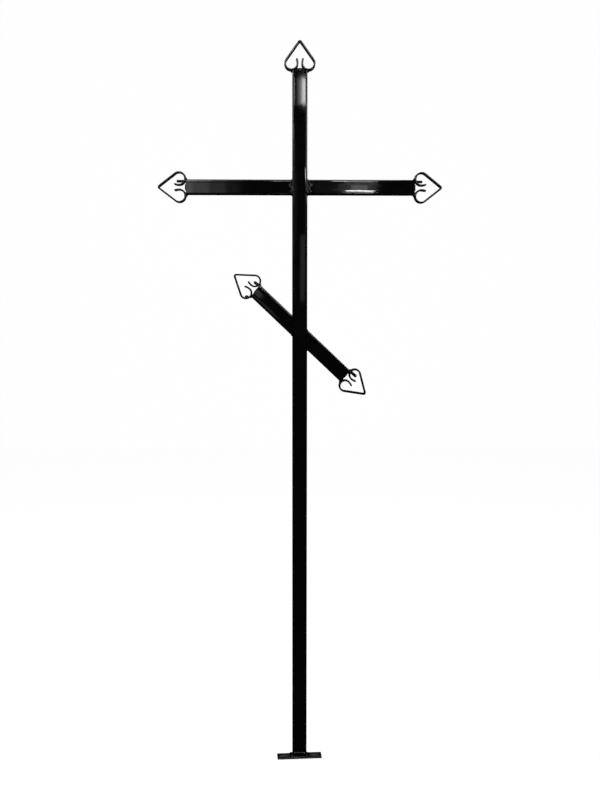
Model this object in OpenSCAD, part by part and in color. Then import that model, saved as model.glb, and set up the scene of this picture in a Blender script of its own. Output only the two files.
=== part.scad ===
// Grave cross with a slanted lower bar, welded from painted rectangular steel tube.
// Every free end carries a heart bent from flat strip. The foot bar is set in the ground.
// The front faces -Y, Z is up, and the origin is the middle of the foot bar's underside.

/* [Tube] */
// Width of the tube, seen from the front
tube_w = 40; // [34:1:48]
// Depth of the tube, front to back
tube_d = 20; // [16:1:24]
// Wall of the tube
wall = 2; // [1.5:0.5:3]
// Outside radius of the tube's long edges
tube_r = 4; // [2:0.5:4]
// Thickness of the plates let into the tube's ends, flush with them
plate_t = 3; // [2:0.5:4]

/* [Post] */
// Height of the post above the ground
post_top = 1874; // [1300:1:2300]

/* [Crossbar] */
// From the post's top down to the middle line of the crossbar
crossbar_drop = 295; // [200:1:400]
// From the post's middle line to the end of the left arm
left_reach = 297; // [200:1:400]
// From the post's middle line to the end of the right arm
right_reach = 301; // [200:1:400]

/* [Slanted bar] */
// From the crossbar's middle line down to the middle of the slanted bar
slant_drop = 380; // [300:0.5:500]
// Slope of the slanted bar, which falls to the right
slant_angle = 43.5; // [30:0.5:50]
// From the post's middle line to the end of the upper arm
upper_reach = 162; // [130:1:220]
// From the post's middle line to the end of the lower arm
lower_reach = 169; // [130:1:220]
// Lean of the upper arm's end and heart off the line of the bar
upper_lean = 6.5; // [0:0.5:10]
// Lean of the lower arm's end and heart off the line of the bar
lower_lean = 1.5; // [0:0.5:10]

/* [Hearts] */
// Depth of the strip, front to back
strip_w = 20; // [16:1:24]
// Thickness of the strip
strip_t = 4; // [3:0.5:5]
// Length of the top heart, from tube end to point
top_heart_len = 74.5; // [64:0.5:90]
// Length of the left heart
left_heart_len = 73; // [64:0.5:90]
// Length of the right heart
right_heart_len = 71.5; // [64:0.5:90]
// Length of the upper arm's heart
upper_heart_len = 69.5; // [64:0.5:90]
// Length of the lower arm's heart
lower_heart_len = 72; // [64:0.5:90]
// Distance between the middles of the two lobes
lobe_pitch = 44; // [42:0.5:54]
// Bend radius of a lobe, to the middle of the strip
lobe_r = 16; // [14:0.5:18]
// Distance between the lobes of the slanted bar's two smaller hearts
small_lobe_pitch = 39.5; // [38:0.5:50]
// Bend radius of the lobes of the smaller hearts
small_lobe_r = 14.5; // [13:0.5:17]
// Bend radius of every point, to the middle of the strip
point_r = 4; // [3:0.5:6]
// Reach of the curled tips from the tube end
tip_reach = 30.5; // [26:0.5:36]
// Bend radius of the curled tips, to the middle of the strip
tip_r = 30; // [24:1:40]

/* [Pegs] */
// Diameter of the pegs welded inside the hearts
peg_d = 7; // [5:0.5:8]
// Left peg: distance off the heart's middle line
left_peg_off = 15.5; // [14:0.5:22]
// Left peg: reach from the tube end
left_peg_reach = 25.5; // [16:0.5:26]
// Right peg: distance off the heart's middle line
right_peg_off = 15.5; // [14:0.5:22]
// Right peg: reach from the tube end
right_peg_reach = 22; // [16:0.5:26]
// Upper peg: distance off the heart's middle line
upper_peg_off = 16.5; // [13:0.5:21]
// Upper peg: reach from the tube end
upper_peg_reach = 17.5; // [14:0.5:26]
// Lower peg: distance off the heart's middle line
lower_peg_off = 18.5; // [13:0.5:21]
// Lower peg: reach from the tube end
lower_peg_reach = 24; // [16:0.5:28]

/* [Foot bar] */
// Length of the foot bar
foot_len = 125; // [80:1:200]
// Depth of the foot bar, front to back
foot_w = 30; // [24:1:40]
// Thickness of the foot bar
foot_t = 5; // [3:0.5:8]
// Turn of the foot bar out of line with the cross, its left end towards the front
foot_turn = 3; // [0:0.5:5]

/* [Hidden] */
$fn = 64;
black = "#141516";
// Root gap that the welds fill round plates, hearts and pegs
weld_gap = 0.2;
// Tube's inside radius, which a thick wall does not close up
inner_r = max(tube_r - wall, 0.5);
// Larger than any piece that a cut has to clear
clear = 4 * tube_w;
crossbar_z = post_top - crossbar_drop;
slant_z = crossbar_z - slant_drop;
upper_angle = 180 - slant_angle;
lower_angle = -slant_angle;
// Each end: sideways place, height, and the direction its heart points in
top_end = [0, post_top, 90];
left_end = [-left_reach, crossbar_z, 180];
right_end = [right_reach, crossbar_z, 0];
upper_end = slant_end(upper_angle, upper_reach, upper_lean);
lower_end = slant_end(lower_angle, lower_reach, lower_lean);
// Stretches of one strip run this far into each other, the straighter one a hair thinner
lap = 0.25;
lapped_t = strip_t - 0.02;
lap_turn = lap / tip_r * 180 / PI;
// Lobes of the two sizes of heart: sideways place of the middle, and bend radius
lobe = [lobe_pitch / 2, lobe_r];
small_lobe = [small_lobe_pitch / 2, small_lobe_r];

function slant_end(angle, reach, lean) =
    [reach * cos(angle), slant_z + reach * sin(angle), angle + lean];
// A lobe rests on the tube's end, or on its corner where the lobe stands wider
function lobe_u(lobe) =
    let (out = lobe[1] + strip_t / 2 + weld_gap, over = max(lobe[0] - tube_w / 2, 0))
    sqrt(out * out - over * over);
// Middle of the bend at the point of a heart
function point_u(len) = len - point_r - strip_t / 2;
// Half of the angle between the two legs, tangent to the lobe and to the bend
function leg_angle(len, lobe) =
    let (du = point_u(len) - lobe_u(lobe))
    atan2(lobe[0], du) + asin((lobe[1] - point_r) / norm([du, lobe[0]]));

// Moves a piece drawn with its end at the origin and pointing along +X
module at_end(end) {
    translate([end[0], 0, end[1]]) rotate([0, -end[2], 0]) children();
}

module both_sides() {
    children();
    mirror([0, 1]) children();
}

module rounded(w, d, r) {
    square([w - 2 * r, d], center = true);
    square([w, d - 2 * r], center = true);
    for (x = [-1, 1], y = [-1, 1])
        translate([x * (w / 2 - r), y * (d / 2 - r)]) circle(r);
}

module tube_section() {
    difference() {
        rounded(tube_w, tube_d, tube_r);
        tube_bore(0);
    }
}

// Hole through the tube, less a clearance all round
module tube_bore(gap) {
    rounded(tube_w - 2 * (wall + gap), tube_d - 2 * (wall + gap), inner_r);
}

// Tube that lies along +X from the origin, its wide face to the front
module tube(length) {
    rotate([0, 90, 0]) linear_extrude(length) tube_section();
}

// Slanted tube, cut upright along the post's side and square to its heart
module slanted_arm(angle, reach, end) {
    difference() {
        translate([0, 0, slant_z]) rotate([0, -angle, 0]) tube(reach + tube_w);
        translate([-tube_w / 2, -clear / 2, slant_z - clear / 2]) cube([tube_w, clear, clear]);
        at_end(end) translate([0, -clear / 2, -clear / 2]) cube(clear);
    }
}

// Plate let into a tube that comes in at a lean to the plane of its end
module end_plate(end, lean) {
    at_end(end) intersection() {
        translate([-plate_t, -clear / 2, -clear / 2]) cube([plate_t, clear, clear]);
        rotate([0, lean, 0]) translate([-tube_w, 0, 0]) rotate([0, 90, 0])
            linear_extrude(2 * tube_w) tube_bore(weld_gap);
    }
}

// Strip bent round the origin between two angles
module arc_strip(r, t, from, to) {
    steps = ceil((to - from) / 30);
    far = 2 * (r + t);
    intersection() {
        difference() {
            circle(r + t / 2);
            circle(r - t / 2);
        }
        polygon(concat([[0, 0]], [
            for (i = [0:steps])
                let (a = from + (to - from) * i / steps)
                far * [cos(a), sin(a)]
        ]));
    }
}

// Half of a heart but for the bend at its point: straight leg, round lobe, and curled tip
module half_heart(len, lobe) {
    half = leg_angle(len, lobe);
    out = [sin(half), cos(half)];
    middle = [lobe_u(lobe), lobe[0]];
    leg_from = [point_u(len), 0] + point_r * out;
    leg_to = middle + lobe[1] * out;
    tip_middle = middle + [0, tip_r - lobe[1]];
    tip_turn = asin((tip_reach - strip_t / 2 - middle[0]) / tip_r);
    translate(leg_to) rotate(-half) translate([-lap, -lapped_t / 2])
        square([norm(leg_from - leg_to) + 2 * lap, lapped_t]);
    translate(middle) arc_strip(lobe[1], strip_t, 90 - half, 270);
    translate(tip_middle) arc_strip(tip_r, lapped_t, 270 - lap_turn, 270 + tip_turn);
    translate(tip_middle + tip_r * [sin(tip_turn), -cos(tip_turn)]) circle(strip_t / 2);
}

module heart(end, len, lobe) {
    turn = 90 - leg_angle(len, lobe);
    at_end(end) rotate([90, 0, 0]) linear_extrude(strip_w, center = true) {
        translate([point_u(len), 0]) arc_strip(point_r, strip_t, -turn, turn);
        both_sides() half_heart(len, lobe);
    }
}

// Round peg that starts at the inside of a lobe; side is +1 or -1
module peg(end, off, reach, lobe, side) {
    at_end(end) intersection() {
        translate([0, 0, side * off]) {
            rotate([0, 90, 0]) cylinder(d = peg_d, h = reach - peg_d / 2);
            translate([reach - peg_d / 2, 0, 0]) sphere(d = peg_d);
        }
        translate([lobe_u(lobe), 0, side * lobe[0]]) rotate([90, 0, 0])
            cylinder(r = lobe[1] - strip_t / 2 - weld_gap, h = strip_w, center = true);
    }
}

module foot_bar() {
    color(black) rotate([0, 0, foot_turn]) translate([-foot_len / 2, -foot_w / 2, 0])
        cube([foot_len, foot_w, foot_t]);
}

module post() {
    color(black) translate([0, 0, foot_t]) linear_extrude(post_top - foot_t) tube_section();
}

module left_arm() {
    color(black) translate([-left_reach, 0, crossbar_z]) tube(left_reach - tube_w / 2);
}

module right_arm() {
    color(black) translate([tube_w / 2, 0, crossbar_z]) tube(right_reach - tube_w / 2);
}

module upper_arm() {
    color(black) slanted_arm(upper_angle, upper_reach, upper_end);
}

module lower_arm() {
    color(black) slanted_arm(lower_angle, lower_reach, lower_end);
}

module top_plate() {
    color(black) end_plate(top_end, 0);
}

module left_plate() {
    color(black) end_plate(left_end, 0);
}

module right_plate() {
    color(black) end_plate(right_end, 0);
}

module upper_plate() {
    color(black) end_plate(upper_end, upper_lean);
}

module lower_plate() {
    color(black) end_plate(lower_end, lower_lean);
}

module top_heart() {
    color(black) heart(top_end, top_heart_len, lobe);
}

module left_heart() {
    color(black) heart(left_end, left_heart_len, lobe);
}

module right_heart() {
    color(black) heart(right_end, right_heart_len, lobe);
}

module upper_heart() {
    color(black) heart(upper_end, upper_heart_len, small_lobe);
}

module lower_heart() {
    color(black) heart(lower_end, lower_heart_len, small_lobe);
}

module left_peg() {
    color(black) peg(left_end, left_peg_off, left_peg_reach, lobe, -1);
}

module right_peg() {
    color(black) peg(right_end, right_peg_off, right_peg_reach, lobe, 1);
}

module upper_peg() {
    color(black) peg(upper_end, upper_peg_off, upper_peg_reach, small_lobe, -1);
}

module lower_peg() {
    color(black) peg(lower_end, lower_peg_off, lower_peg_reach, small_lobe, 1);
}

foot_bar();
post();
left_arm();
right_arm();
upper_arm();
lower_arm();
top_plate();
left_plate();
right_plate();
upper_plate();
lower_plate();
top_heart();
left_heart();
right_heart();
upper_heart();
lower_heart();
left_peg();
right_peg();
upper_peg();
lower_peg();
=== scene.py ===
import math

import bmesh
import bpy
from mathutils import Matrix, Vector


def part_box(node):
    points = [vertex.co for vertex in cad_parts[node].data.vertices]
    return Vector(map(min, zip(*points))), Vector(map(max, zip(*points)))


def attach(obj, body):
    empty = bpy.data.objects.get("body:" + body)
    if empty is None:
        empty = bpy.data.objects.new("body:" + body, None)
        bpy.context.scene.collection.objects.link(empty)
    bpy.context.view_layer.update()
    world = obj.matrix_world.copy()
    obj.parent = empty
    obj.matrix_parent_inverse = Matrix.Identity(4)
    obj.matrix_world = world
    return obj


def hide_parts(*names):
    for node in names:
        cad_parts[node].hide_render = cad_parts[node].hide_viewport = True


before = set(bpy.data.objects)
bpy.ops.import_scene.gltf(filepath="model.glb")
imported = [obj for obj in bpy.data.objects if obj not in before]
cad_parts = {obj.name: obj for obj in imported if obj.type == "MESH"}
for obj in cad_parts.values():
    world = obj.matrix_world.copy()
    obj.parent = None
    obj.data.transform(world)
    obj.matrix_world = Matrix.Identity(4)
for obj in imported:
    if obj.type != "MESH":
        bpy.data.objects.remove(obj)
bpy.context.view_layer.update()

# ---------------------------------------------------------------------------
# Post
# One length of cold-formed rectangular steel tube, 40 x 20 mm with a 2 mm wall, sawn
# square at both ends and stood on the foot bar. Rolling leaves its walls a little dished.
# ---------------------------------------------------------------------------
MM = 0.001
tube_w, tube_d, tube_wall, tube_corner = 40, 20, 2, 4
wall_dish, edge_fall = 0.3, 0.25
sawn_edge = 0.3
gloss, film_peel, film_sag = 0.03, 0.001, 0.015
ring_step, corner_steps = 22, 7
mark_width, sag_width, patch_width, grit_gap = 1.6, 14, 60, 7


def linear(code):
    """Linear colour of an sRGB hex value."""
    parts = [int(code[i:i + 2], 16) / 255 for i in (1, 3, 5)]
    return [c / 12.92 if c <= 0.04045 else ((c + 0.055) / 1.055) ** 2.4 for c in parts] + [1]


def add_node(tree, kind, inputs=None, **settings):
    """Adds a node. Inputs are plain values or sockets to link from, by the input's name or place."""
    made = tree.nodes.new(kind)
    for name, value in settings.items():
        setattr(made, name, value)
    for key, value in (inputs or {}).items():
        if isinstance(value, bpy.types.NodeSocket):
            tree.links.new(value, made.inputs[key])
        else:
            made.inputs[key].default_value = value
    return made


def black_enamel(name, along, streak, rough, peel, lumps):
    """Gloss black alkyd enamel over mild steel. Along is the brush's direction as an angle from
    +X towards +Z, streak how much longer than wide a brush mark is, rough the mean roughness,
    peel and lumps the height in mm of the fine and the broad unevenness of the film."""
    material = bpy.data.materials.new(name)
    material.use_nodes = True
    tree = material.node_tree
    tree.nodes.clear()
    place = add_node(tree, "ShaderNodeTexCoord")
    # turned so that X runs along the brush marks, and scaled so that 1 is a millimetre
    turned = add_node(tree, "ShaderNodeMapping", {
        "Vector": place.outputs["Object"], "Rotation": (0, math.radians(along), 0),
        "Scale": (1 / MM, 1 / MM, 1 / MM)})
    drawn = add_node(tree, "ShaderNodeMapping", {
        "Vector": turned.outputs["Vector"], "Scale": (1 / streak, 1, 1)})
    # brush marks about 1.6 mm wide, the film's sag over 14 mm, and dull patches over 60 mm
    marks = add_node(tree, "ShaderNodeTexNoise", {
        "Vector": drawn.outputs["Vector"], "Scale": 1 / mark_width, "Detail": 3, "Roughness": 0.55})
    sag = add_node(tree, "ShaderNodeTexNoise", {
        "Vector": turned.outputs["Vector"], "Scale": 1 / sag_width, "Detail": 2})
    patches = add_node(tree, "ShaderNodeTexNoise", {
        "Vector": turned.outputs["Vector"], "Scale": 1 / patch_width, "Detail": 5, "Roughness": 0.6})
    # grit caught in the film, specks under half a millimetre about 7 mm apart
    grit = add_node(tree, "ShaderNodeTexVoronoi", {
        "Vector": turned.outputs["Vector"], "Scale": 1 / grit_gap})
    speck = add_node(tree, "ShaderNodeMapRange", {
        "Value": grit.outputs["Distance"], "From Min": 0.035, "From Max": 0.07,
        "To Min": 1, "To Max": 0})
    tint = add_node(tree, "ShaderNodeValToRGB", {"Fac": patches.outputs["Fac"]})
    tint.color_ramp.elements[0].position = 0.35
    tint.color_ramp.elements[0].color = linear("#030304")
    tint.color_ramp.elements[1].position = 0.75
    tint.color_ramp.elements[1].color = linear("#08090a")
    dusty = add_node(tree, "ShaderNodeMix", {
        "Factor": speck.outputs["Result"], "A": tint.outputs["Color"], "B": linear("#1a1b1c")},
        data_type="RGBA")
    dull = add_node(tree, "ShaderNodeMapRange", {
        "Value": patches.outputs["Fac"], "From Min": 0.4, "From Max": 0.75,
        "To Min": rough * 0.85, "To Max": rough * 1.7})
    rubbed = add_node(tree, "ShaderNodeMath", {
        0: marks.outputs["Fac"], 1: rough * 0.5, 2: dull.outputs["Result"]},
        operation="MULTIPLY_ADD")
    fine = add_node(tree, "ShaderNodeBump", {
        "Height": marks.outputs["Fac"], "Strength": 1, "Distance": peel * MM})
    broad = add_node(tree, "ShaderNodeBump", {
        "Height": sag.outputs["Fac"], "Strength": 1, "Distance": lumps * MM,
        "Normal": fine.outputs["Normal"]})
    paint = add_node(tree, "ShaderNodeBsdfPrincipled", {
        "Base Color": dusty.outputs["Result"], "Roughness": rubbed.outputs["Value"],
        "Metallic": 0, "IOR": 1.5, "Normal": broad.outputs["Normal"]})
    add_node(tree, "ShaderNodeOutputMaterial", {"Surface": paint.outputs["BSDF"]})
    return material


def section(w, d, r, dish, fall, hollow=0):
    """Points round a tube's section, clockwise: four walls, each dished in the middle and
    falling away at its ends, and four round corners. Hollow is the share of the dish that is
    rounded evenly; the rest of it is flat in the middle."""
    points = []
    for quarter in range(4):
        long, across = (w, d) if quarter % 2 == 0 else (d, w)
        half = long / 2 - r
        side = []
        steps = 28 if quarter % 2 == 0 else 12
        for i in range(steps + 1):
            s = 2 * i / steps - 1
            bowed = dish * (long / w) ** 2 * (1 - hollow * s ** 2 - (1 - hollow) * s ** 4) + fall * s ** 16
            side.append(Vector((s * half, across / 2 - bowed)))
        for i in range(1, corner_steps):
            turn = math.radians(90 * i / corner_steps)
            spoke = Vector((math.sin(turn), math.cos(turn)))
            side.append(Vector((half, across / 2 - r)) + (r - fall) * spoke)
        points += [Matrix.Rotation(-quarter * math.pi / 2, 2) @ p for p in side]
    return points


def add_piece(name, mesh, material, *nodes):
    """Puts a finished mesh in the scene as a piece of the welded cross."""
    piece = bpy.data.objects.new(name, mesh)
    bpy.context.scene.collection.objects.link(piece)
    piece.data.materials.clear()
    piece.data.materials.append(material)
    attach(piece, "root")
    if nodes:
        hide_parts(*nodes)
    return piece


def outward(mesh):
    """Turns every face of a closed mesh outwards."""
    shape = bmesh.new()
    shape.from_mesh(mesh)
    bmesh.ops.recalc_face_normals(shape, faces=shape.faces)
    shape.to_mesh(mesh)
    shape.free()


def add_tube(node, middle, angle, near, far, material, hollow=0):
    """A tube whose line passes through middle (x, z) at an angle from +X. Near and far are its
    cut ends: the distance along the line, and how far the cut runs on for each mm across.
    Hollow is as for the section."""
    length = far[0] - near[0]
    count = max(4, round(length / ring_step))
    shares = [0, sawn_edge / length] + [i / count for i in range(1, count)] + [1 - sawn_edge / length, 1]
    along = Vector((math.cos(math.radians(angle)), math.sin(math.radians(angle))))
    across = Vector((-along.y, along.x))
    inside = section(tube_w - 2 * tube_wall, tube_d - 2 * tube_wall, tube_corner - tube_wall, 0, 0)
    verts, rings = [], []
    for share in shares:
        drawn_in = sawn_edge if share in (0, 1) else 0
        wave = 1 + 0.1 * math.sin(share * length / 41 + angle) + 0.08 * math.sin(share * length / 97)
        outside = section(tube_w - 2 * drawn_in, tube_d - 2 * drawn_in, tube_corner,
                          wall_dish * wave, edge_fall, hollow)
        for loop in (outside, inside):
            rings.append([])
            for v, y in loop:
                start, end = near[0] + near[1] * v, far[0] + far[1] * v
                at = Vector(middle) + along * (start + (end - start) * share) + across * v
                rings[-1].append(len(verts))
                verts.append((at.x * MM, y * MM, at.y * MM))
    faces = []
    n = len(inside)
    for k in range(len(shares) - 1):
        a, b, c, d = rings[2 * k], rings[2 * k + 2], rings[2 * k + 1], rings[2 * k + 3]
        for i in range(n):
            j = (i + 1) % n
            faces += [(a[i], a[j], b[j], b[i]), (c[j], c[i], d[i], d[j])]
    for outer, inner, turned in ((rings[0], rings[1], False), (rings[-2], rings[-1], True)):
        for i in range(n):
            j = (i + 1) % n
            face = (outer[j], outer[i], inner[i], inner[j])
            faces.append(face[::-1] if turned else face)
    mesh = bpy.data.meshes.new(node + "_tube")
    mesh.from_pydata(verts, [], faces)
    outward(mesh)
    mesh.shade_smooth()
    mesh.set_sharp_from_angle(angle=math.radians(38))
    return add_piece(node + "_tube", mesh, material, node)


post_low, post_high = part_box("post")
foot_top, post_top = post_low.z / MM, post_high.z / MM
# brush-laid gloss enamel on smooth rolled steel: near black, mirror-like, faint marks lengthwise
upright_paint = black_enamel("black_enamel_on_post", 90, 30, gloss, film_peel, film_sag)
# the post's walls are dished more roundly than the arms'
post_hollow = 0.5
add_tube("post", (0, 0), 90, (foot_top, 0), (post_top, 0), upright_paint, post_hollow)

# ---------------------------------------------------------------------------
# Crossbar
# Two lengths of the same tube, sawn square and butt-welded to the post's sides.
# ---------------------------------------------------------------------------
left_low, left_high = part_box("left_arm")
right_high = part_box("right_arm")[1]
crossbar_z = (left_low.z + left_high.z) / 2 / MM
left_reach, right_reach = -left_low.x / MM, right_high.x / MM
level_paint = black_enamel("black_enamel_on_crossbar", 0, 30, gloss, film_peel, film_sag)
add_tube("left_arm", (0, crossbar_z), 180, (tube_w / 2, 0), (left_reach, 0), level_paint)
add_tube("right_arm", (0, crossbar_z), 0, (tube_w / 2, 0), (right_reach, 0), level_paint)

# ---------------------------------------------------------------------------
# Slanted bar
# Two more lengths, cut upright where they meet the post and nearly square at the free end.
# ---------------------------------------------------------------------------
slant_drop, slant_angle = 380, 43.5
upper_reach, lower_reach = 162, 169
upper_lean, lower_lean = 6.5, 1.5
slant_z = crossbar_z - slant_drop
slanted_paint = black_enamel("black_enamel_on_slanted_bar", -slant_angle, 30, gloss, film_peel, film_sag)


def slanted_arm(node, angle, reach, lean):
    """The inner cut is upright, so it runs on by the slope's tangent for each mm across."""
    rise = math.tan(math.radians(angle))
    start = tube_w / 2 / abs(math.cos(math.radians(angle)))
    add_tube(node, (0, slant_z), angle, (start, rise), (reach, -math.tan(math.radians(lean))),
             slanted_paint)


slanted_arm("upper_arm", 180 - slant_angle, upper_reach, upper_lean)
slanted_arm("lower_arm", -slant_angle, lower_reach, lower_lean)

# ---------------------------------------------------------------------------
# Hearts
# Flat strip, 20 x 4 mm with rolled round edges and a thick film of paint on each face, bent on
# edge round a former to a pointed heart, its two tips curled inwards. Each heart is welded by
# the backs of its lobes to the end of a tube.
# ---------------------------------------------------------------------------
strip_w, strip_t, strip_edge, strip_film = 20, 4, 1.4, 0.35
weld_gap = 0.2
point_r, tip_reach, tip_r = 4, 30.5, 30
# places along the tip, in mm back from its end, closest where the strip narrows
tip_steps = (0, 0.12, 0.45, 1, 2)
big_lobe, small_lobe = (22, 16), (19.75, 14.5)
# each end: sideways place, height, and the direction that its heart points in
ends = {
    "top": (0, post_top, 90),
    "left": (-left_reach, crossbar_z, 180),
    "right": (right_reach, crossbar_z, 0),
    "upper": (upper_reach * math.cos(math.radians(180 - slant_angle)),
              slant_z + upper_reach * math.sin(math.radians(180 - slant_angle)),
              180 - slant_angle + upper_lean),
    "lower": (lower_reach * math.cos(math.radians(-slant_angle)),
              slant_z + lower_reach * math.sin(math.radians(-slant_angle)),
              -slant_angle + lower_lean),
}
hearts = {"top": (74.5, big_lobe), "left": (73, big_lobe), "right": (71.5, big_lobe),
          "upper": (69.5, small_lobe), "lower": (72, small_lobe)}


def at_end(end, u, v, y=0):
    """Place in the frame, in metres, of a point u out from a tube's end, v across it and y back."""
    x, z, direction = ends[end]
    c, s = math.cos(math.radians(direction)), math.sin(math.radians(direction))
    return Vector((x + u * c - v * s, y, z + u * s + v * c)) * MM


def lobe_u(lobe):
    """How far out the middle of a lobe lies: it rests on the tube's end, or on its corner."""
    out, over = lobe[1] + strip_t / 2 + weld_gap, max(lobe[0] - tube_w / 2, 0)
    return math.sqrt(out * out - over * over)


def half_heart(length, lobe):
    """Middle line of half a heart, from the curled tip to the point."""
    v, r = lobe
    middle = Vector((lobe_u(lobe), v))
    point = Vector((length - point_r - strip_t / 2, 0))
    gap = point.x - middle.x
    half = math.atan2(v, gap) + math.asin((r - point_r) / math.hypot(gap, v))
    curl = math.asin((tip_reach - strip_t / 2 - middle.x) / tip_r)
    curl_middle = middle + Vector((0, tip_r - r))
    line = []
    tip_end = curl + strip_t / 2 / tip_r
    for back in tip_steps:
        turn = tip_end - back / tip_r
        line.append(curl_middle + tip_r * Vector((math.sin(turn), -math.cos(turn))))
    for i in range(1, 5):
        turn = (tip_end - tip_steps[-1] / tip_r) * (1 - i / 5)
        line.append(curl_middle + tip_r * Vector((math.sin(turn), -math.cos(turn))))
    steps = 40
    for i in range(steps + 1):
        turn = math.radians(270) - i / steps * (math.radians(180) + half)
        line.append(middle + r * Vector((math.cos(turn), math.sin(turn))))
    leg_end = point + point_r * Vector((math.sin(half), math.cos(half)))
    line += [line[-1].lerp(leg_end, i / 6) for i in range(1, 6)]
    for i in range(9):
        turn = math.radians(90) - half - i / 8 * (math.radians(90) - half)
        line.append(point + point_r * Vector((math.cos(turn), math.sin(turn))))
    return line


def make_tree(name, inputs):
    """A node tree with named inputs after its geometry; gives the tree and its input node."""
    tree = bpy.data.node_groups.new(name, "GeometryNodeTree")
    tree.interface.new_socket("Geometry", in_out="INPUT", socket_type="NodeSocketGeometry")
    for label, kind in inputs:
        tree.interface.new_socket(label, in_out="INPUT", socket_type=kind)
    tree.interface.new_socket("Geometry", in_out="OUTPUT", socket_type="NodeSocketGeometry")
    return tree, tree.nodes.new("NodeGroupInput")


def grow(name, tree, lines, values, shares=None, flat=False):
    """Runs a tree on paths given as lists of points, or on flat faces with those corners, and
    gives the result as a plain mesh. Shares are the thickness at each point, 1 being the full one."""
    verts = [tuple(p) for line in lines for p in line]
    edges, faces, first = [], [], 0
    for line in lines:
        if flat:
            faces.append(range(first, first + len(line)))
        else:
            edges += [(first + i, first + i + 1) for i in range(len(line) - 1)]
        first += len(line)
    path = bpy.data.meshes.new(name + "_path")
    path.from_pydata(verts, edges, faces)
    share = path.attributes.new("share", "FLOAT", "POINT")
    share.data.foreach_set("value", [s for line in shares for s in line] if shares else [1] * len(verts))
    holder = bpy.data.objects.new(name + "_path", path)
    bpy.context.scene.collection.objects.link(holder)
    modifier = holder.modifiers.new(name, "NODES")
    modifier.node_group = tree
    for item in tree.interface.items_tree:
        if item.item_type == "SOCKET" and item.in_out == "INPUT" and item.name in values:
            modifier[item.identifier] = values[item.name]
    shown = holder.evaluated_get(bpy.context.evaluated_depsgraph_get())
    mesh = bpy.data.meshes.new_from_object(shown)
    holder.modifiers.remove(modifier)
    bpy.data.objects.remove(holder)
    mesh.name = name
    return mesh


strip_tree, given = make_tree("bent_strip", [
    ("Thickness", "NodeSocketFloat"), ("Depth", "NodeSocketFloat"), ("Edge", "NodeSocketFloat"),
    ("Material", "NodeSocketMaterial")])
line = add_node(strip_tree, "GeometryNodeMeshToCurve", {"Mesh": given.outputs["Geometry"]})
level = add_node(strip_tree, "GeometryNodeSetCurveNormal", {
    "Curve": line.outputs["Curve"], "Normal": (0, 1, 0)}, mode="FREE")
centre = add_node(strip_tree, "GeometryNodeInputPosition")
tangent = add_node(strip_tree, "GeometryNodeInputTangent")
beside = add_node(strip_tree, "ShaderNodeVectorMath", {
    0: tangent.outputs["Tangent"], 1: (0, 1, 0)}, operation="CROSS_PRODUCT")
spline = add_node(strip_tree, "GeometryNodeSplineParameter")
whole = add_node(strip_tree, "GeometryNodeSplineLength")
left_over = add_node(strip_tree, "ShaderNodeMath", {
    0: whole.outputs["Length"], 1: spline.outputs["Length"]}, operation="SUBTRACT")
to_tip = add_node(strip_tree, "ShaderNodeMath", {
    0: spline.outputs["Length"], 1: left_over.outputs["Value"]}, operation="MINIMUM")
kept = add_node(strip_tree, "GeometryNodeCaptureAttribute", {"Geometry": level.outputs["Curve"]},
                domain="POINT")
kept.capture_items.new("VECTOR", "centre")
kept.capture_items.new("VECTOR", "beside")
kept.capture_items.new("FLOAT", "to_tip")
strip_tree.links.new(centre.outputs["Position"], kept.inputs[1])
strip_tree.links.new(beside.outputs["Vector"], kept.inputs[2])
strip_tree.links.new(to_tip.outputs["Value"], kept.inputs[3])
blank = add_node(strip_tree, "GeometryNodeCurvePrimitiveQuadrilateral", {
    "Width": given.outputs["Depth"], "Height": given.outputs["Thickness"]}, mode="RECTANGLE")
eased = add_node(strip_tree, "GeometryNodeFilletCurve", {
    "Curve": blank.outputs["Curve"], "Radius": given.outputs["Edge"], "Count": 3}, mode="POLY")
swept = add_node(strip_tree, "GeometryNodeCurveToMesh", {
    "Curve": kept.outputs["Geometry"], "Profile Curve": eased.outputs["Curve"], "Fill Caps": True})
# the tips are dressed round: the strip narrows over its last 2 mm by the rule of a circle
away = add_node(strip_tree, "ShaderNodeVectorMath", {
    0: centre.outputs["Position"], 1: kept.outputs[1]}, operation="SUBTRACT")
off = add_node(strip_tree, "ShaderNodeVectorMath", {
    0: away.outputs["Vector"], 1: kept.outputs[2]}, operation="DOT_PRODUCT")
radius = add_node(strip_tree, "ShaderNodeMath", {
    0: given.outputs["Thickness"], 1: 0.5}, operation="MULTIPLY")
reach = add_node(strip_tree, "ShaderNodeMath", {
    0: kept.outputs[3], 1: radius.outputs["Value"]}, operation="DIVIDE")
short = add_node(strip_tree, "ShaderNodeMath", {0: 1, 1: reach.outputs["Value"]},
                 operation="SUBTRACT", use_clamp=True)
squared = add_node(strip_tree, "ShaderNodeMath", {
    0: short.outputs["Value"], 1: short.outputs["Value"]}, operation="MULTIPLY")
chord = add_node(strip_tree, "ShaderNodeMath", {0: 1.03, 1: squared.outputs["Value"]},
                 operation="SUBTRACT", use_clamp=True)
share = add_node(strip_tree, "ShaderNodeMath", {0: chord.outputs["Value"]}, operation="SQRT")
loss = add_node(strip_tree, "ShaderNodeMath", {0: share.outputs["Value"], 1: 1},
                operation="SUBTRACT")
inward = add_node(strip_tree, "ShaderNodeMath", {
    0: off.outputs["Value"], 1: loss.outputs["Value"]}, operation="MULTIPLY")
shift = add_node(strip_tree, "ShaderNodeVectorMath", {
    0: kept.outputs[2], "Scale": inward.outputs["Value"]}, operation="SCALE")
dressed = add_node(strip_tree, "GeometryNodeSetPosition", {
    "Geometry": swept.outputs["Mesh"], "Offset": shift.outputs["Vector"]})
real = add_node(strip_tree, "GeometryNodeRealizeInstances", {"Geometry": dressed.outputs["Geometry"]})
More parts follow.
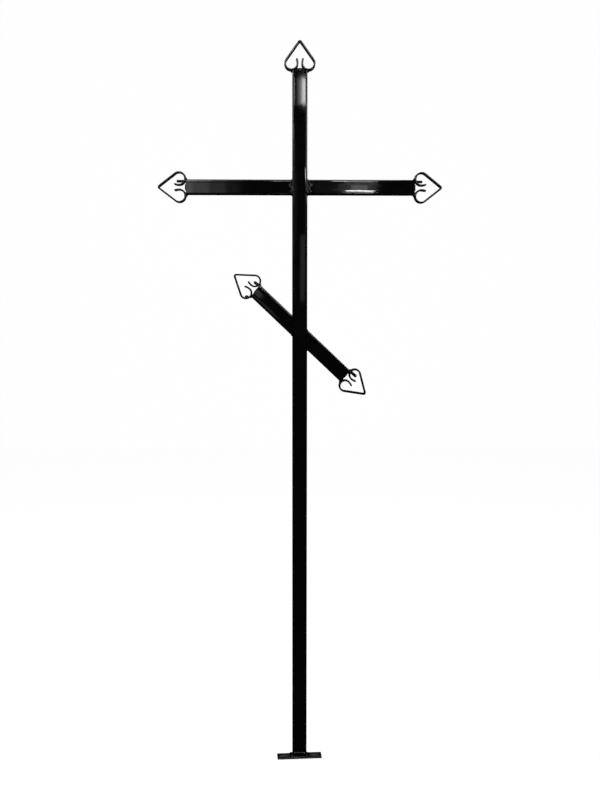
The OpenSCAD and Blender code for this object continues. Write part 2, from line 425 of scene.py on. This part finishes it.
painted = add_node(strip_tree, "GeometryNodeSetMaterial", {
    "Geometry": real.outputs["Geometry"], "Material": given.outputs["Material"]})
add_node(strip_tree, "NodeGroupOutput", {"Geometry": painted.outputs["Geometry"]})

# the same enamel over hot-rolled strip, whose scale and bending marks leave the film duller
strip_paint = black_enamel("black_enamel_on_strip", 0, 1, 0.07, 0.004, 0.03)
for end, (length, lobe) in hearts.items():
    half = half_heart(length, lobe)
    outline = half + [Vector((p.x, -p.y)) for p in reversed(half[:-1])]
    mesh = grow(end + "_heart_strip", strip_tree, [[at_end(end, p.x, p.y) for p in outline]], {
        "Thickness": (strip_t + 2 * strip_film) * MM, "Depth": strip_w * MM, "Edge": strip_edge * MM,
        "Material": strip_paint})
    outward(mesh)
    mesh.shade_smooth()
    mesh.set_sharp_from_angle(angle=math.radians(50))
    add_piece(end + "_heart_strip", mesh, strip_paint, end + "_heart")

# ---------------------------------------------------------------------------
# Welds
# Stick-welded steel beads, laid by hand and painted over: woven runs round the bars' joints, a
# heavy fillet at the foot, and mounds between the lobes of each heart and the end that it sits on.
# ---------------------------------------------------------------------------
bead_step, bead_sides = 0.9, 14
bead_tree, asked = make_tree("weld_bead", [
    ("Width", "NodeSocketFloat"), ("Spread", "NodeSocketVector"), ("Ripple", "NodeSocketFloat"),
    ("Pitch", "NodeSocketFloat"), ("Lumps", "NodeSocketFloat"), ("Lump Size", "NodeSocketFloat"),
    ("Seed", "NodeSocketFloat"), ("Material", "NodeSocketMaterial")])
run = add_node(bead_tree, "GeometryNodeMeshToCurve", {"Mesh": asked.outputs["Geometry"]})
even = add_node(bead_tree, "GeometryNodeResampleCurve", {
    "Curve": run.outputs["Curve"], "Length": bead_step * MM}, mode="LENGTH")
place = add_node(bead_tree, "GeometryNodeInputPosition")
share_of = add_node(bead_tree, "GeometryNodeInputNamedAttribute", {"Name": "share"}, data_type="FLOAT")
spline = add_node(bead_tree, "GeometryNodeSplineParameter")
whole = add_node(bead_tree, "GeometryNodeSplineLength")
half_width = add_node(bead_tree, "ShaderNodeMath", {0: asked.outputs["Width"], 1: 0.5}, operation="MULTIPLY")
# ripples: the bead swells and pinches in step with each dip of the rod
phase = add_node(bead_tree, "ShaderNodeMath", {
    0: spline.outputs["Length"], 1: asked.outputs["Pitch"]}, operation="DIVIDE")
turns = add_node(bead_tree, "ShaderNodeMath", {0: phase.outputs["Value"], 1: math.pi}, operation="MULTIPLY")
wave = add_node(bead_tree, "ShaderNodeMath", {0: turns.outputs["Value"]}, operation="SINE")
coin = add_node(bead_tree, "ShaderNodeMath", {0: wave.outputs["Value"]}, operation="ABSOLUTE")
level_coin = add_node(bead_tree, "ShaderNodeMath", {0: coin.outputs["Value"], 1: 0.64}, operation="SUBTRACT")
rippled = add_node(bead_tree, "ShaderNodeMath", {
    0: level_coin.outputs["Value"], 1: asked.outputs["Ripple"], 2: 1}, operation="MULTIPLY_ADD")
# both ends of a run are round
left_over = add_node(bead_tree, "ShaderNodeMath", {
    0: whole.outputs["Length"], 1: spline.outputs["Length"]}, operation="SUBTRACT")
to_end = add_node(bead_tree, "ShaderNodeMath", {
    0: spline.outputs["Length"], 1: left_over.outputs["Value"]}, operation="MINIMUM")
reach = add_node(bead_tree, "ShaderNodeMath", {
    0: to_end.outputs["Value"], 1: half_width.outputs["Value"]}, operation="DIVIDE")
short = add_node(bead_tree, "ShaderNodeMath", {0: 1, 1: reach.outputs["Value"]},
                 operation="SUBTRACT", use_clamp=True)
squared = add_node(bead_tree, "ShaderNodeMath", {
    0: short.outputs["Value"], 1: short.outputs["Value"]}, operation="MULTIPLY")
chord = add_node(bead_tree, "ShaderNodeMath", {0: 1.01, 1: squared.outputs["Value"]}, operation="SUBTRACT")
round_end = add_node(bead_tree, "ShaderNodeMath", {0: chord.outputs["Value"]}, operation="SQRT")
thick = add_node(bead_tree, "ShaderNodeMath", {
    0: half_width.outputs["Value"], 1: share_of.outputs["Attribute"]}, operation="MULTIPLY")
swollen = add_node(bead_tree, "ShaderNodeMath", {
    0: thick.outputs["Value"], 1: rippled.outputs["Value"]}, operation="MULTIPLY")
ended = add_node(bead_tree, "ShaderNodeMath", {
    0: swollen.outputs["Value"], 1: round_end.outputs["Value"]}, operation="MULTIPLY")
kept = add_node(bead_tree, "GeometryNodeCaptureAttribute", {"Geometry": even.outputs["Curve"]},
                domain="POINT")
kept.capture_items.new("VECTOR", "centre")
bead_tree.links.new(place.outputs["Position"], kept.inputs[1])
round_rod = add_node(bead_tree, "GeometryNodeCurvePrimitiveCircle", {"Resolution": bead_sides, "Radius": 1})
swept = add_node(bead_tree, "GeometryNodeCurveToMesh", {
    "Curve": kept.outputs["Geometry"], "Profile Curve": round_rod.outputs["Curve"],
    "Scale": ended.outputs["Value"], "Fill Caps": True})
# lumps: the metal did not run evenly
fineness = add_node(bead_tree, "ShaderNodeMath", {0: 1, 1: asked.outputs["Lump Size"]}, operation="DIVIDE")
uneven = add_node(bead_tree, "ShaderNodeTexNoise", {
    "Vector": place.outputs["Position"], "W": asked.outputs["Seed"],
    "Scale": fineness.outputs["Value"], "Detail": 1}, noise_dimensions="4D")
about_none = add_node(bead_tree, "ShaderNodeMath", {0: uneven.outputs["Fac"], 1: 0.5}, operation="SUBTRACT")
lumpy = add_node(bead_tree, "ShaderNodeMath", {
    0: about_none.outputs["Value"], 1: asked.outputs["Lumps"], 2: 1}, operation="MULTIPLY_ADD")
scaled = add_node(bead_tree, "ShaderNodeVectorMath", {
    0: asked.outputs["Spread"], "Scale": lumpy.outputs["Value"]}, operation="SCALE")
growth = add_node(bead_tree, "ShaderNodeVectorMath", {0: scaled.outputs["Vector"], 1: (1, 1, 1)},
                  operation="SUBTRACT")
away = add_node(bead_tree, "ShaderNodeVectorMath", {
    0: place.outputs["Position"], 1: kept.outputs[1]}, operation="SUBTRACT")
shift = add_node(bead_tree, "ShaderNodeVectorMath", {
    0: away.outputs["Vector"], 1: growth.outputs["Vector"]}, operation="MULTIPLY")
laid = add_node(bead_tree, "GeometryNodeSetPosition", {
    "Geometry": swept.outputs["Mesh"], "Offset": shift.outputs["Vector"]})
smooth = add_node(bead_tree, "GeometryNodeSetShadeSmooth", {"Geometry": laid.outputs["Geometry"]})
real = add_node(bead_tree, "GeometryNodeRealizeInstances", {"Geometry": smooth.outputs["Geometry"]})
painted = add_node(bead_tree, "GeometryNodeSetMaterial", {
    "Geometry": real.outputs["Geometry"], "Material": asked.outputs["Material"]})
add_node(bead_tree, "NodeGroupOutput", {"Geometry": painted.outputs["Geometry"]})

# the enamel gathers on the beads in a thick wet-looking film, glossier than on the tube
weld_paint = black_enamel("black_enamel_on_welds", 0, 1, 0.06, 0.002, 0.03)


def add_bead(name, lines, width, seed, spread=(1, 1, 1), ripple=0.12, pitch=3.2, lumps=0.5, lump_size=5,
             shares=None, material=None, nodes=()):
    """Welds one bead or several along paths in metres; width, pitch and lump_size are in mm."""
    mesh = grow(name, bead_tree, lines, {
        "Width": width * MM, "Spread": spread, "Ripple": ripple, "Pitch": pitch * MM, "Lumps": lumps,
        "Lump Size": lump_size * MM, "Seed": float(seed), "Material": material or weld_paint}, shares)
    outward(mesh)
    return add_piece(name, mesh, material or weld_paint, *nodes)


def joint_loop(x, z, half_height, half_depth):
    """Path once round a bar's section, with round corners, its two ends lapping at the back."""
    corner = 3
    line = []
    for turn_y, turn_z, start in ((1, 1, 90), (-1, 1, 180), (-1, -1, 270), (1, -1, 360)):
        for i in range(5):
            turn = math.radians(start - 90 + 90 * i / 4)
            line.append(Vector((x, turn_y * (half_depth - corner) + corner * math.cos(turn),
                                z + turn_z * (half_height - corner) + corner * math.sin(turn))) * MM)
    back = Vector((x, half_depth, z - 2)) * MM
    return [back] + line + [Vector((x, half_depth, z + 2)) * MM]


def weave(x, side, z_from, z_to, y, reach, period):
    """Path of a bead woven from side to side as it is laid downwards."""
    count = round(abs(z_to - z_from))
    line = []
    for i in range(count + 1):
        swing = side * reach * math.sin(2 * math.pi * i / period)
        line.append(Vector((x + swing, y, z_from + (z_to - z_from) * i / count)) * MM)
    return line


# root beads: their distance from the post's middle, and how far they are sunk in the arms' faces
root_out, root_sunk, slot_sunk, slot_shift = 20.7, 0.6, 0.9, 0.7
for side, name, slanted_name in ((-1, "left", "upper"), (1, "right", "lower")):
    add_bead(name + "_arm_root_weld", [
        joint_loop(side * root_out, crossbar_z, tube_w / 2 - root_sunk, tube_d / 2 - root_sunk)], 4, 3 + side)
    joint_z = slant_z - side * tube_w / 2 * math.tan(math.radians(slant_angle))
    slot_height = tube_w / 2 / math.cos(math.radians(slant_angle))
    add_bead(slanted_name + "_arm_root_weld", [
        joint_loop(side * root_out, joint_z - side * slot_shift, slot_height - slot_sunk,
                   tube_d / 2 - root_sunk)], 3.8, 13 + side)

# each woven run: sideways place, side it swings to first, reach, length of a swing, front or back
woven_top, woven_bottom, woven_y = 17.5, -17, 9.7
woven = {"left": ((-23.5, 1, 3.6, 19, -1), (-23.5, 1, 3, 12, 1)),
         "right": ((18.6, 1, 1.6, 15, -1), (27.4, -1, 2.4, 17, -1), (23, 1, 3, 11, 1))}
for number, (name, runs) in enumerate(woven.items()):
    add_bead(name + "_arm_woven_weld", [
        weave(x, swing, crossbar_z + woven_top, crossbar_z + woven_bottom, facing * woven_y, reach, period)
        for x, swing, reach, period, facing in runs], 5.6, 8 + number, spread=(1, 1.1, 1), ripple=0.25,
        pitch=6, lumps=0.9, lump_size=6)

# heavy fillets all round the post's foot, run down on to the foot bar
fillet_x = (-19, -9, 0, 9, 19)
toe_run = ((0, 11.5), (14, 11.6), (22, 11), (28, 10.5))
add_bead("post_foot_front_weld", [
    [Vector((x, -tube_d / 2, foot_top + 7.5)) * MM for x in fillet_x],
    [Vector((x, tube_d / 2, foot_top + 6.5)) * MM for x in reversed(fillet_x)]],
    13, 21, spread=(1, 0.5, 1), ripple=0.45, pitch=10.5, lumps=0.5, lump_size=7)
add_bead("post_foot_side_weld", [
    [Vector((side * 20.2, y, foot_top + 1.6)) * MM for y in (-9, 0, 9)] for side in (-1, 1)],
    6.5, 22, lumps=0.5, lump_size=7)
add_bead("post_foot_toe_weld", [
    [Vector((side * x, facing * y, foot_top + 0.6)) * MM for x, y in toe_run]
    for side in (-1, 1) for facing in (-1, 1)],
    5.5, 23, spread=(1, 1, 0.6), lumps=0.7, lump_size=6)

# mounds between the lobes: how far they stand out, and how far they run to each side
mounds = {"top": (7.6, 10), "left": (3.6, 9), "right": (3.2, 9), "upper": (1.6, 6), "lower": (1.6, 6)}
# beads in the seat of each lobe: out from where it touches, and out from the tube's end
seat_y, seat_runs = (-8.6, -3, 3, 8.6), ((-3.6, 0.6), (1.4, -0.9))
for number, end in enumerate(hearts):
    stand, wide = mounds[end]
    across_end = (-wide, -wide / 2, 0, wide / 2, wide)
    add_bead(end + "_heart_mound_weld", [[at_end(end, 0, v) for v in across_end]], 2 * stand, 31 + number,
             spread=(1, seat_y[-1] / stand, 1), ripple=0.04, lumps=0.25, lump_size=11)
    contact = min(hearts[end][1][0], tube_w / 2)
    add_bead(end + "_heart_seat_weld", [
        [at_end(end, u, side * (contact + out), y) for y in seat_y]
        for side in (-1, 1) for out, u in seat_runs],
        4.6, 41 + number, lumps=0.6, lump_size=5)
    rim_v, rim_y = tube_w / 2 - tube_wall, tube_d / 2 - tube_wall
    rim = [at_end(end, -0.35, v, y) for v, y in (
        (0, rim_y), (rim_v - 1, rim_y), (rim_v, rim_y - 1), (rim_v, 1 - rim_y), (rim_v - 1, -rim_y),
        (1 - rim_v, -rim_y), (-rim_v, 1 - rim_y), (-rim_v, rim_y - 1), (1 - rim_v, rim_y), (0, rim_y))]
    # the plate's weld is ground nearly flush
    add_bead(end + "_plate_rim_weld", [rim], 1.8, 51 + number, ripple=0.05, lumps=0.3, lump_size=6)

# a blob of weld metal that ran down inside the lower lobe of the upper heart
lug_middle, lug_r = Vector((lobe_u(small_lobe), small_lobe[0])), 10.2
lug_run = []
for degrees in range(108, 171, 6):
    a = math.radians(degrees)
    lug_run.append(at_end("upper", lug_middle.x + lug_r * math.cos(a), lug_middle.y + lug_r * math.sin(a)))
add_bead("upper_heart_inner_weld", [lug_run], 8, 61, spread=(1, 2.4, 1), lumps=0.4, lump_size=6)

# ---------------------------------------------------------------------------
# Pegs
# A short round rod inside the upper lobe of every heart but the top one, welded to the strip
# by a collar of bead. It was held in the fire or ground round, so its free end is a drop.
# ---------------------------------------------------------------------------
# each peg: side of the heart's middle line, distance off it, reach from the tube's end, thickness
pegs = {"left": (-1, 15.5, 25.5, 7.4), "right": (1, 15.5, 22, 7.2), "upper": (-1, 16.5, 17.5, 8.4),
        "lower": (1, 18.5, 24, 8.6)}
# the collar of weld at the root, the neck, and the drop at the tip, as shares of the thickness
peg_shares = [1.35, 1.3, 1.08, 0.94, 1.0, 1.02, 0.96]
for number, (end, (side, off, tip, peg_width)) in enumerate(pegs.items()):
    lobe = hearts[end][1]
    inside = lobe[1] - strip_t / 2
    base = lobe_u(lobe) - math.sqrt(inside ** 2 - (off - lobe[0]) ** 2)
    stations = [base - 1, base + 0.4, base + 2, base + 4, (base + 4 + tip) / 2, tip - 2, tip]
    add_bead(end + "_peg_rod", [[at_end(end, u, side * off) for u in stations]], peg_width, 71 + number,
             ripple=0, lumps=0.12, lump_size=7, shares=[peg_shares],
             material=strip_paint, nodes=[end + "_peg"])

# ---------------------------------------------------------------------------
# End plates
# Small plates cut from 3 mm sheet, let into the tubes' ends flush and welded round their rims.
# They keep the shapes that they were cut to and only take the paint.
# ---------------------------------------------------------------------------
# enamel over ground sheet, which shows the disc's scratches as a duller film
plate_paint = black_enamel("black_enamel_on_end_plates", 0, 6, 0.14, 0.01, 0.03)
for end in ends:
    for place_of_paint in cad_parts[end + "_plate"].material_slots:
        place_of_paint.material = plate_paint

# ---------------------------------------------------------------------------
# Foot bar
# A length of 30 x 5 mm hot-rolled flat bar, sheared at both ends, laid a little askew under the post.
# Its edges are rolled round. Dust and scuffs have dulled the enamel on its top, whose grey is also a painted
# sheen of the light from above, with painted shade of the post across its middle.
# ---------------------------------------------------------------------------
bar_length, bar_width, bar_thick, bar_turn = 125, 30, 5, math.radians(3)
bar_edge, sheared_end, bar_step = 2.2, 1.2, 4


def dust_and_sheen_enamel():
    """Black enamel under dry grey dust and a painted grey sheen of the light from above: matt and patchy on
    top, kept off the edges, and under painted shade of the post in the middle.
    """
    material = bpy.data.materials.new("black_enamel_with_dust_and_painted_sheen_on_foot_bar")
    material.use_nodes = True
    tree = material.node_tree
    tree.nodes.clear()
    place = add_node(tree, "ShaderNodeTexCoord")
    in_mm = add_node(tree, "ShaderNodeVectorMath", {
        0: place.outputs["Object"], "Scale": 1 / MM}, operation="SCALE")
    # drifts of dust about 12 mm across, and its grain, drawn at 1 mm so that it shows
    drifts = add_node(tree, "ShaderNodeTexNoise", {
        "Vector": in_mm.outputs["Vector"], "Scale": 1 / 12, "Detail": 4, "Roughness": 0.6})
    grain = add_node(tree, "ShaderNodeTexNoise", {
        "Vector": in_mm.outputs["Vector"], "Scale": 1, "Detail": 2})
    amount = add_node(tree, "ShaderNodeMapRange", {
        "Value": drifts.outputs["Fac"], "From Min": 0.3, "From Max": 0.6, "To Min": 0.4, "To Max": 1})
    # the grey lies only on faces that look up: dust, and a painted sheen of the light from above
    facing = add_node(tree, "ShaderNodeNewGeometry")
    parts = add_node(tree, "ShaderNodeSeparateXYZ", {"Vector": facing.outputs["Normal"]})
    upward = add_node(tree, "ShaderNodeMapRange", {
        "Value": parts.outputs["Z"], "From Min": 0.9, "From Max": 0.99})
    # the grey is kept off the top's edges, more so at the back, and off its middle under the post, which is
    # painted shade of the post and its weld
    straight = add_node(tree, "ShaderNodeMapping", {
        "Vector": in_mm.outputs["Vector"], "Rotation": (0, 0, -bar_turn)})
    across = add_node(tree, "ShaderNodeSeparateXYZ", {"Vector": straight.outputs["Vector"]})
    off_line = add_node(tree, "ShaderNodeMath", {0: across.outputs["Y"], 1: 1.5}, operation="ADD")
    off_middle = add_node(tree, "ShaderNodeMath", {0: off_line.outputs["Value"]}, operation="ABSOLUTE")
    inside_edge = add_node(tree, "ShaderNodeMapRange", {
        "Value": off_middle.outputs["Value"], "From Min": 5.5, "From Max": 8, "To Min": 1, "To Max": 0})
    from_post = add_node(tree, "ShaderNodeMath", {0: across.outputs["X"]}, operation="ABSOLUTE")
    # painted shade of the post and its weld: near the post the grey drops to a fifth
    out_of_post_shade = add_node(tree, "ShaderNodeMapRange", {
        "Value": from_post.outputs["Value"], "From Min": 26, "From Max": 36, "To Min": 0.2, "To Max": 1})
    inside_end = add_node(tree, "ShaderNodeMapRange", {
        "Value": from_post.outputs["Value"], "From Min": 54, "From Max": 58, "To Min": 1, "To Max": 0})
    dust_and_sheen_share = amount.outputs["Result"]
    for mask in (upward, inside_edge, out_of_post_shade, inside_end):
        dust_and_sheen_share = add_node(tree, "ShaderNodeMath", {0: dust_and_sheen_share, 1: mask.outputs["Result"]},
                         operation="MULTIPLY").outputs["Value"]
    dust = add_node(tree, "ShaderNodeValToRGB", {"Fac": grain.outputs["Fac"]})
    dust.color_ramp.elements[0].position = 0.3
    dust.color_ramp.elements[0].color = linear("#201f1e")
    dust.color_ramp.elements[1].position = 0.7
    dust.color_ramp.elements[1].color = linear("#3b3936")
    # painted sheen and dust: grey laid over the black enamel where their share is high
    colour = add_node(tree, "ShaderNodeMix", {
        "Factor": dust_and_sheen_share, "A": linear("#08090a"), "B": dust.outputs["Color"]},
        data_type="RGBA")
    rough = add_node(tree, "ShaderNodeMapRange", {
        "Value": dust_and_sheen_share, "To Min": 0.12, "To Max": 0.75})
    relief = add_node(tree, "ShaderNodeBump", {
        "Height": grain.outputs["Fac"], "Strength": 1, "Distance": 0.02 * MM})
    paint = add_node(tree, "ShaderNodeBsdfPrincipled", {
        "Base Color": colour.outputs["Result"], "Roughness": rough.outputs["Result"],
        "Metallic": 0, "IOR": 1.5, "Normal": relief.outputs["Normal"]})
    add_node(tree, "ShaderNodeOutputMaterial", {"Surface": paint.outputs["BSDF"]})
    return material


half_bar = bar_length / 2
count = round(bar_length / bar_step)
stations = [(-half_bar, 1), (-half_bar + 0.15, 0.5), (-half_bar + sheared_end, 0)]
stations += [(-half_bar + bar_length * i / count, 0) for i in range(1, count)]
stations += [(half_bar - sheared_end, 0), (half_bar - 0.15, 0.5), (half_bar, 1)]
verts, rings = [], []
for x, drawn_in in stations:
    lost = 2 * sheared_end * drawn_in
    # the shear drags the end's top edge down a little more than its lower one
    lean = 0.25 * drawn_in
    wander = 0.12 * math.sin(x / 13) + 0.08 * math.sin(x / 5.3)
    rings.append([])
    for y, z in section(bar_width - lost, bar_thick - lost, bar_edge, 0.06, 0.1):
        rings[-1].append(len(verts))
        y += wander if abs(y) > 10 else 0
        z += bar_thick / 2 - (lean if z > 0 else 0)
        verts.append(Matrix.Rotation(bar_turn, 3, "Z") @ Vector((x, y, z)) * MM)
faces = [rings[0], rings[-1][::-1]]
for near_ring, far_ring in zip(rings, rings[1:]):
    for i in range(len(near_ring)):
        j = (i + 1) % len(near_ring)
        faces.append((near_ring[i], near_ring[j], far_ring[j], far_ring[i]))
bar = bpy.data.meshes.new("foot_flat_bar")
bar.from_pydata(verts, [], faces)
outward(bar)
bar.shade_smooth()
bar.set_sharp_from_angle(angle=math.radians(40))
add_piece("foot_flat_bar", bar, dust_and_sheen_enamel(), "foot_bar")

# ---------------------------------------------------------------------------
# Spatter
# Drops of weld metal that flew off and stuck to the steel beside the joints, painted over.
# ---------------------------------------------------------------------------
spatter_tree, wanted = make_tree("weld_spatter", [
    ("Density", "NodeSocketFloat"), ("Least", "NodeSocketFloat"), ("Most", "NodeSocketFloat"),
    ("Seed", "NodeSocketInt"), ("Material", "NodeSocketMaterial")])
strewn = add_node(spatter_tree, "GeometryNodeDistributePointsOnFaces", {
    "Mesh": wanted.outputs["Geometry"], "Density": wanted.outputs["Density"],
    "Seed": wanted.outputs["Seed"]}, distribute_method="RANDOM")
drop = add_node(spatter_tree, "GeometryNodeMeshIcoSphere", {"Radius": 1, "Subdivisions": 3})
size = add_node(spatter_tree, "FunctionNodeRandomValue", {
    2: wanted.outputs["Least"], 3: wanted.outputs["Most"], "Seed": wanted.outputs["Seed"]}, data_type="FLOAT")
stuck = add_node(spatter_tree, "GeometryNodeInstanceOnPoints", {
    "Points": strewn.outputs["Points"], "Instance": drop.outputs["Mesh"],
    "Scale": size.outputs[1]})
real = add_node(spatter_tree, "GeometryNodeRealizeInstances", {"Geometry": stuck.outputs["Instances"]})
smooth = add_node(spatter_tree, "GeometryNodeSetShadeSmooth", {"Geometry": real.outputs["Geometry"]})
painted = add_node(spatter_tree, "GeometryNodeSetMaterial", {
    "Geometry": smooth.outputs["Geometry"], "Material": wanted.outputs["Material"]})
add_node(spatter_tree, "NodeGroupOutput", {"Geometry": painted.outputs["Geometry"]})

patches = []
for y in (0.2 - tube_d / 2, tube_d / 2 - 0.2):
    for x_from, x_to, z_middle, half in ((-52, -31, crossbar_z, 14), (31, 52, crossbar_z, 14),
                                         (-15, 15, crossbar_z, 18), (-15, 15, slant_z, 24)):
        patches.append([Vector((x_from, y, z_middle - half)) * MM, Vector((x_to, y, z_middle - half)) * MM,
                        Vector((x_to, y, z_middle + half)) * MM, Vector((x_from, y, z_middle + half)) * MM])
drops = grow("weld_spatter_drops", spatter_tree, patches, {
    "Density": 5000.0, "Least": 0.3 * MM, "Most": 0.9 * MM, "Seed": 5, "Material": weld_paint}, flat=True)
outward(drops)
add_piece("weld_spatter_drops", drops, weld_paint)
# one larger drop lies on the foot bar, near its right end
add_bead("foot_bar_spatter", [[Vector((x, 2, bar_thick + 0.2)) * MM for x in (51, 52.5, 54)]], 4.6, 81,
         spread=(1, 1.3, 0.7), ripple=0, lumps=0.5, lump_size=3)

# ---------------------------------------------------------------------------
# Studio
# A white card behind and below, soft boxes to the sides, overhead and behind, and in front a few
# small lamps and the panes of a window, which the enamel mirrors.
# ---------------------------------------------------------------------------
lamp_y, lamp_z = -3.3, 2.485


def add_lamp(name, place, target, size, radiance):
    """A soft panel of a given size in metres, as bright as its radiance, turned to its target."""
    data = bpy.data.lights.new(name, "AREA")
    data.shape = "RECTANGLE"
    data.size, data.size_y = size
    data.energy = radiance * math.pi * size[0] * size[1]
    lamp = bpy.data.objects.new(name, data)
    lamp.location = place
    lamp.rotation_euler = (Vector(target) - Vector(place)).to_track_quat("-Z", "Y").to_euler()
    lamp.visible_camera = False
    bpy.context.scene.collection.objects.link(lamp)


def add_front_lamp(name, x, y, z, width, height, radiance):
    """A panel that stands in front of the cross and faces straight back."""
    add_lamp(name, (x, y, z), (x, 0, z), (width, height), radiance)


# over the camera, a lamp that fades to the right in steps
fading = ((-0.10, -0.045, 16), (-0.045, 0.015, 13), (0.015, 0.04, 9), (0.04, 0.061, 4.5),
          (0.061, 0.078, 3.2), (0.078, 0.1, 1.8), (0.1, 0.13, 1), (0.13, 0.17, 0.5))
for x_from, x_to, radiance in fading:
    add_front_lamp("lamp_over_camera", (x_from + x_to) / 2, lamp_y, lamp_z, x_to - x_from, 0.15, radiance)
add_front_lamp("lamp_beside_camera", 0.318, lamp_y, lamp_z, 0.084, 0.15, 45)
add_front_lamp("lamp_right", 0.435, -3.29, 1.995, 0.17, 0.06, 40)
add_front_lamp("pane_under_lamp", 0.43, lamp_y, 1.925, 0.1, 0.04, 1.6)
add_front_lamp("pane_about_lamp", 0.43, -3.31, 1.91, 0.24, 0.16, 0.45)
add_front_lamp("pane_right", 0.44, -3.32, 1.75, 0.2, 0.27, 0.6)
add_front_lamp("pane_near_right", 0.25, -3.32, 1.9, 0.18, 0.6, 0.08)
add_front_lamp("pane_middle", -0.01, lamp_y, 1.43, 0.14, 0.4, 0.35)
add_front_lamp("pane_low_left", -0.19, lamp_y, 1.28, 0.05, 0.06, 0.7)
# a window to the left: its light grows upwards, and fades towards the middle in steps
window_rows = ((1.5, 1.8, 0.5), (1.8, 2.1, 1), (2.1, 2.3, 1.8), (2.66, 3.3, 9))
window_steps = ((-0.80, -0.58, 1.6), (-0.58, -0.48, 1.0), (-0.48, -0.38, 0.5), (-0.38, -0.30, 0.15))
for low, high, more in window_rows:
    for x_from, x_to, radiance in window_steps:
        add_front_lamp("window_left", (x_from + x_to) / 2, lamp_y, (low + high) / 2,
                       x_to - x_from, high - low, radiance * more)
add_front_lamp("window_right_high", 0.46, lamp_y, 2.98, 0.22, 0.64, 16)
add_front_lamp("pane_right_high", 1.03, lamp_y, 2.2, 0.34, 0.5, 4)
add_lamp("sky_right", (2.0, -0.8, 3.4), (0.1, 0, 1.3), (0.9, 0.9), 9)
add_lamp("softbox_left", (-2.2, -1.6, 2.6), (0, 0, 1.2), (0.7, 1.0), 14)
add_lamp("softbox_right", (2.3, -1.4, 2.2), (0, 0, 1.0), (0.6, 0.9), 9)
add_lamp("softbox_top", (0, -0.4, 4.2), (0, 0, 0), (1.2, 1.2), 5)
add_lamp("softbox_back_left", (-2.2, 1.9, 2.4), (0, 0, 1.0), (0.6, 0.9), 14)
add_lamp("softbox_back_right", (2.3, 1.7, 2.4), (0, 0, 1.0), (0.6, 0.9), 14)

world = bpy.data.worlds.new("studio")
bpy.context.scene.world = world
world.use_nodes = True
air = world.node_tree
air.nodes.clear()
ray = add_node(air, "ShaderNodeLightPath")
room = add_node(air, "ShaderNodeBackground", {"Color": linear("#d8dce0"), "Strength": 0.03})
white = add_node(air, "ShaderNodeBackground", {"Color": (1, 1, 1, 1), "Strength": 1})
seen = add_node(air, "ShaderNodeMixShader", {
    0: ray.outputs["Is Camera Ray"], 1: room.outputs["Background"], 2: white.outputs["Background"]})
add_node(air, "ShaderNodeOutputWorld", {"Surface": seen.outputs["Shader"]})


def add_sheet(name, corners, colour, seen_white, seen_gloss):
    """A staged sheet of card, whose diffuse face keeps the shadow. It glows by seen_white to the
    camera, which lifts it to white, and by seen_gloss in a reflection."""
    mesh = bpy.data.meshes.new(name)
    mesh.from_pydata(corners, [], [(0, 1, 2, 3)])
    sheet = bpy.data.objects.new(name, mesh)
    bpy.context.scene.collection.objects.link(sheet)
    material = bpy.data.materials.new(name)
    material.use_nodes = True
    tree = material.node_tree
    tree.nodes.clear()
    path = add_node(tree, "ShaderNodeLightPath")
    # the card is dark to every other ray, so that the black enamel mirrors no milky edges
    shown = add_node(tree, "ShaderNodeMix", {
        "Factor": path.outputs["Is Camera Ray"], "A": linear("#141414"), "B": linear(colour)},
        data_type="RGBA")
    face = add_node(tree, "ShaderNodeBsdfDiffuse", {"Color": shown.outputs["Result"]})
    mirror = add_node(tree, "ShaderNodeMath", {
        0: path.outputs["Is Glossy Ray"], 1: path.outputs["Is Transmission Ray"]}, operation="MAXIMUM")
    dim = add_node(tree, "ShaderNodeMath", {
        0: mirror.outputs["Value"], 1: seen_gloss}, operation="MULTIPLY")
    strength = add_node(tree, "ShaderNodeMath", {
        0: path.outputs["Is Camera Ray"], 1: seen_white, 2: dim.outputs["Value"]},
        operation="MULTIPLY_ADD")
    glow = add_node(tree, "ShaderNodeEmission", {"Strength": strength.outputs["Value"]})
    both = add_node(tree, "ShaderNodeAddShader", {0: face.outputs["BSDF"], 1: glow.outputs["Emission"]})
    add_node(tree, "ShaderNodeOutputMaterial", {"Surface": both.outputs["Shader"]})
    mesh.materials.append(material)


add_sheet("floor", [(-4, -0.3, 0), (4, -0.3, 0), (4, 5, 0), (-4, 5, 0)], "#404040", 0.98, 0.01)
add_sheet("backdrop", [(-4, 5, 0), (4, 5, 0), (4, 5, 6), (-4, 5, 6)], "#404040", 0.985, 0.01)

# ---------------------------------------------------------------------------
# Camera
# It stands a little left of the post at about two thirds of its height and looks slightly down.
# ---------------------------------------------------------------------------
camera_data = bpy.data.cameras.new("camera")
camera_data.lens = 41.56
camera = bpy.data.objects.new("camera", camera_data)
bpy.context.scene.collection.objects.link(camera)
yaw, pitch, roll = math.radians(1.24), math.radians(7.10), math.radians(0.04)
forward = Vector((math.sin(yaw) * math.cos(pitch), math.cos(yaw) * math.cos(pitch), -math.sin(pitch)))
level_right = Vector((math.cos(yaw), -math.sin(yaw), 0))
level_up = level_right.cross(forward)
right = level_right * math.cos(roll) + level_up * math.sin(roll)
up = level_up * math.cos(roll) - level_right * math.sin(roll)
turn = Matrix((right, up, -forward)).transposed()
camera.matrix_world = Matrix.Translation((-0.0525, -2.4709, 1.3258)) @ turn.to_4x4()
camera_data.clip_start = 0.1
bpy.context.scene.camera = camera

bpy.context.scene.view_settings.view_transform = "Standard"
